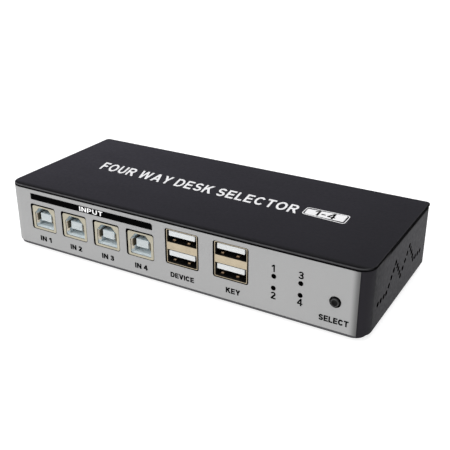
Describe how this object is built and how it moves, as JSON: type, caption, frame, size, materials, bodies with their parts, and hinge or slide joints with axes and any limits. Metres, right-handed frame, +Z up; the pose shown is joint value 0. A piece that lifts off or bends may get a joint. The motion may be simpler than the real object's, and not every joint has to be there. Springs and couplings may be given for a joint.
{
  "type": "kvm switch",
  "caption": "Desktop selector box with a black steel case, grey front panel, data ports in front, video sockets behind and a push button to choose the host.",
  "frame": {"origin": "under the middle of the box, on the plane of the rubber feet", "axes": "+X to the right along the front panel, -Y out of the front panel, +Z up through the lid"},
  "size_m": [0.16, 0.0686, 0.0285],
  "materials": {
    "black_plastic": "moulded",
    "black_screw": "black oxide",
    "board_green": "solder mask",
    "brass_turned": "turned",
    "button_plastic": "moulded",
    "can_metal": "drawn can",
    "ceramic_tan": "ceramic",
    "chip_resin": "moulded epoxy",
    "copper_spring": "phosphor bronze",
    "ferrite": "ferrite",
    "foot_rubber": "matt",
    "frame_paint": "fine-texture black powder coat",
    "fuse_green": "coated",
    "gold_contact": "gold flash",
    "grey_plastic": "moulded",
    "lamp_lens": "smoked lens",
    "lid_paint": "satin black powder coat",
    "pad_silicone": "thermal pad",
    "panel_print": "satin grey printed film",
    "port_shell": "nickel plated",
    "sink_black": "black anodised",
    "tinned_wire": "tinned",
    "white_plastic": "moulded",
    "zinc_steel": "zinc plated"
  },
  "bodies": {
    "case": {"base_plate": "frame_paint", "board_screws": "zinc_steel", "board_standoffs": "brass_turned", "capacitor_bases": "black_plastic", "capacitor_cans": "can_metal", "case_screws": "black_screw", "circuit_board": "board_green", "clock_crystals": "can_metal", "controller_chip": "chip_resin", "front_label": "panel_print", "heat_sink": "sink_black", "host_port_contacts": "gold_contact", "host_port_insert_1": "grey_plastic", "host_port_insert_2": "grey_plastic", "host_port_insert_3": "grey_plastic", "host_port_insert_4": "grey_plastic", "host_port_shell_1": "port_shell", "host_port_shell_2": "port_shell", "host_port_shell_3": "port_shell", "host_port_shell_4": "port_shell", "host_port_springs": "copper_spring", "hub_chip": "chip_resin", "lamp_holders": "black_plastic", "lamp_legs": "tinned_wire", "lid_pillars": "zinc_steel", "memory_chips": "chip_resin", "port_fuses": "fuse_green", "power_choke": "ferrite", "power_jack_body": "black_plastic", "power_jack_contacts": "tinned_wire", "protection_chips": "chip_resin", "rear_label": "panel_print", "rubber_feet": "foot_rubber", "small_passives": "ceramic_tan", "stack_port_contacts": "gold_contact", "stack_port_housing_1": "black_plastic", "stack_port_housing_2": "black_plastic", "stack_port_shell_1": "port_shell", "stack_port_shell_2": "port_shell", "stack_port_springs": "copper_spring", "stack_port_tongues": "white_plastic", "status_lamps": "lamp_lens", "switch_body": "black_plastic", "switch_bracket": "port_shell", "switch_dome": "tinned_wire", "switch_terminals": "tinned_wire", "thermal_pad": "pad_silicone", "top_lid": "lid_paint", "video_port_contacts": "gold_contact", "video_port_inserts": "black_plastic", "video_port_shell_1": "port_shell", "video_port_shell_2": "port_shell", "video_port_shell_3": "port_shell", "video_port_shell_4": "port_shell", "video_port_shell_5": "port_shell", "video_switch_chip": "chip_resin", "voltage_regulator": "chip_resin", "wall_frame": "frame_paint"},
    "button": {"select_button": "button_plastic"}
  },
  "joints": [
    {"name": "button_press", "type": "slide", "parent": "case", "child": "button", "axis": [0, 1, 0], "range_m": [0, 0.00025], "stiffness_N_per_m": 6000}
  ]
}
